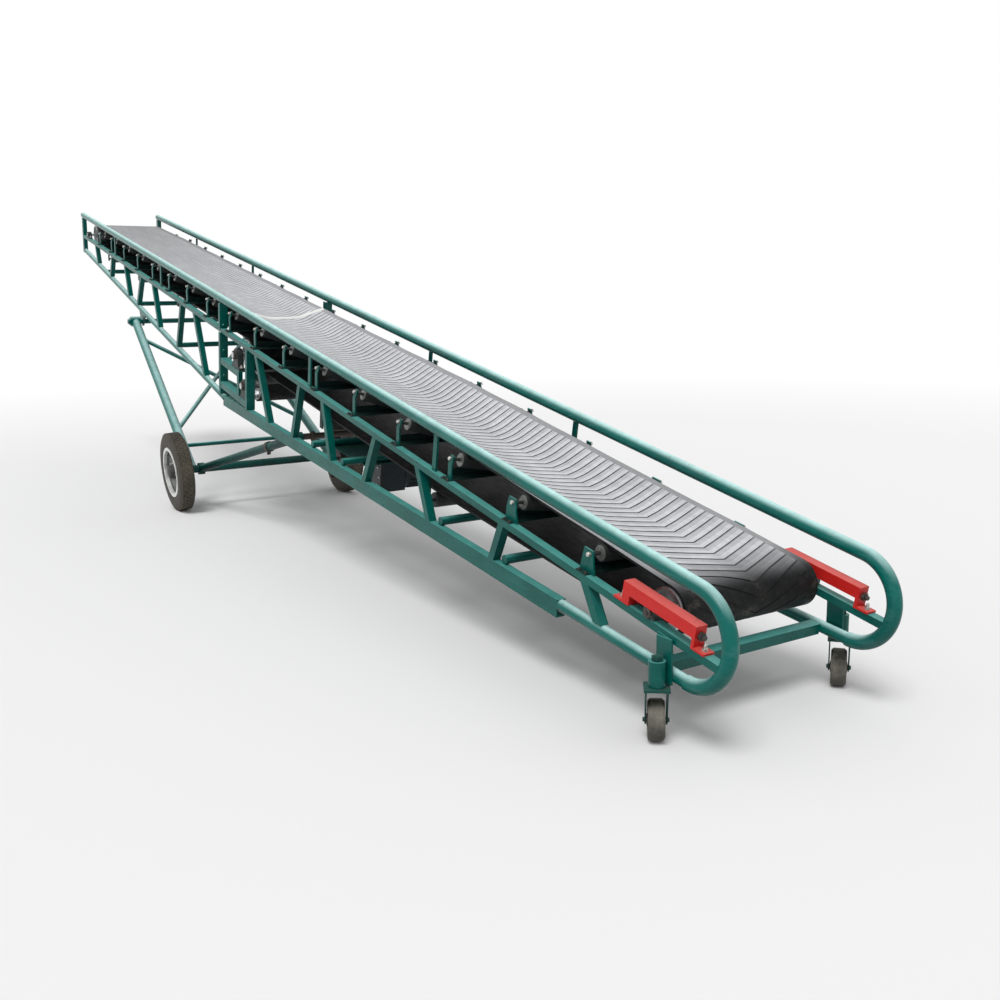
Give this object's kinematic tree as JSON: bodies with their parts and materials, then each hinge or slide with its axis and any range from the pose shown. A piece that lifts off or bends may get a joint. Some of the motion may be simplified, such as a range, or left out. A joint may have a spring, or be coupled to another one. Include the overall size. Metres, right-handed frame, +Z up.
{
  "type": "portable belt conveyor",
  "caption": "Wheeled inclined belt conveyor with a chevron-ribbed troughed belt on a tube truss, red take-ups, road wheels on a swinging undercarriage and tail casters",
  "frame": {"origin": "middle of the bounding box at floor level, where the wheels stand", "axes": "+X from the tail (feed end) to the head (discharge end), +Y to the left looking along the belt, +Z up"},
  "size_m": [10.2735, 1.544, 2.648],
  "materials": {
    "frame_paint": "worn teal green gloss paint",
    "red_paint": "red paint",
    "bright_steel": "bare steel",
    "roller_steel": "dull rolled steel",
    "drum_steel": "turned steel, silver ends",
    "cast_housing": "dark cast housing",
    "motor_paint": "dark grey paint",
    "belt_rubber": "dusty black rubber",
    "tyre_rubber": "dusty tyre rubber",
    "rim_paint": "off-white worn paint",
    "caster_rubber": "dusty solid rubber"
  },
  "bodies": {
    "truss": {"middle_rails": "frame_paint", "top_rails": "frame_paint", "tail_bends": "frame_paint", "lower_chords": "frame_paint", "slide_channels": "frame_paint", "web_angles": "frame_paint", "posts": "frame_paint", "cross_tubes": "frame_paint", "idler_bases": "frame_paint", "idler_brackets": "frame_paint", "idler_rollers": "roller_steel", "return_rollers": "roller_steel", "return_hangers": "frame_paint", "belt_carry": "belt_rubber", "belt_end_wraps": "belt_rubber", "belt_head_return": "belt_rubber", "belt_drive_wrap": "belt_rubber", "belt_tail_return": "belt_rubber", "tail_drum": "drum_steel", "head_drum": "drum_steel", "drive_drums": "drum_steel", "pillow_blocks": "cast_housing", "bearing_shelves": "frame_paint", "takeup_frames": "red_paint", "takeup_bearings": "cast_housing", "takeup_screws": "bright_steel", "pivot_shaft": "frame_paint", "pivot_plates": "frame_paint", "platform": "frame_paint", "drive_motor": "motor_paint", "hand_winch": "bright_steel", "caster_mounts": "frame_paint"},
    "leg_frame": {"legs": "frame_paint", "axle_beam": "frame_paint", "leg_cross_bar": "frame_paint", "leg_brace": "frame_paint", "leg_brace_halves": "frame_paint"},
    "strut_frame": {"struts": "frame_paint", "trolley_shaft": "bright_steel"},
    "wheel_left": {"tyre_left": "tyre_rubber", "rim_left": "rim_paint"},
    "wheel_right": {"tyre_right": "tyre_rubber", "rim_right": "rim_paint"},
    "caster_left": {"caster_fork_left": "frame_paint"},
    "caster_right": {"caster_fork_right": "frame_paint"},
    "caster_roller_left": {"caster_wheel_left": "caster_rubber"},
    "caster_roller_right": {"caster_wheel_right": "caster_rubber"}
  },
  "joints": [
    {"name": "lift", "type": "hinge", "parent": "truss", "child": "leg_frame", "pos_m": [2.62437, 0, 1.45155], "axis": [0, -1, 0], "range_deg": [-4, 22]},
    {"name": "strut_fold", "type": "hinge", "parent": "leg_frame", "child": "strut_frame", "pos_m": [0.59447, 0, 0.31118], "axis": [0, -1, 0], "range_deg": [-53, 10]},
    {"name": "wheel_spin_left", "type": "hinge", "parent": "leg_frame", "child": "wheel_left", "pos_m": [0.59447, 0.7, 0.30689], "axis": [0, 0.9986, -0.0523], "continuous": true},
    {"name": "wheel_spin_right", "type": "hinge", "parent": "leg_frame", "child": "wheel_right", "pos_m": [0.59447, -0.7, 0.30689], "axis": [0, -0.9986, -0.0523], "continuous": true},
    {"name": "caster_swivel_left", "type": "hinge", "parent": "truss", "child": "caster_left", "pos_m": [-4.82139, 0.47, 0.204], "axis": [0, 0, 1], "continuous": true},
    {"name": "caster_roll_left", "type": "hinge", "parent": "caster_left", "child": "caster_roller_left", "pos_m": [-4.79303, 0.44784, 0.075], "axis": [0.6157, 0.788, 0], "continuous": true},
    {"name": "caster_swivel_right", "type": "hinge", "parent": "truss", "child": "caster_right", "pos_m": [-4.82139, -0.47, 0.204], "axis": [0, 0, 1], "continuous": true},
    {"name": "caster_roll_right", "type": "hinge", "parent": "caster_right", "child": "caster_roller_right", "pos_m": [-4.79825, -0.49758, 0.075], "axis": [0.766, 0.6428, 0], "continuous": true}
  ],
  "couplings": [
    {"joint": "strut_fold", "follows": "lift", "ratio": -2.365}
  ]
}
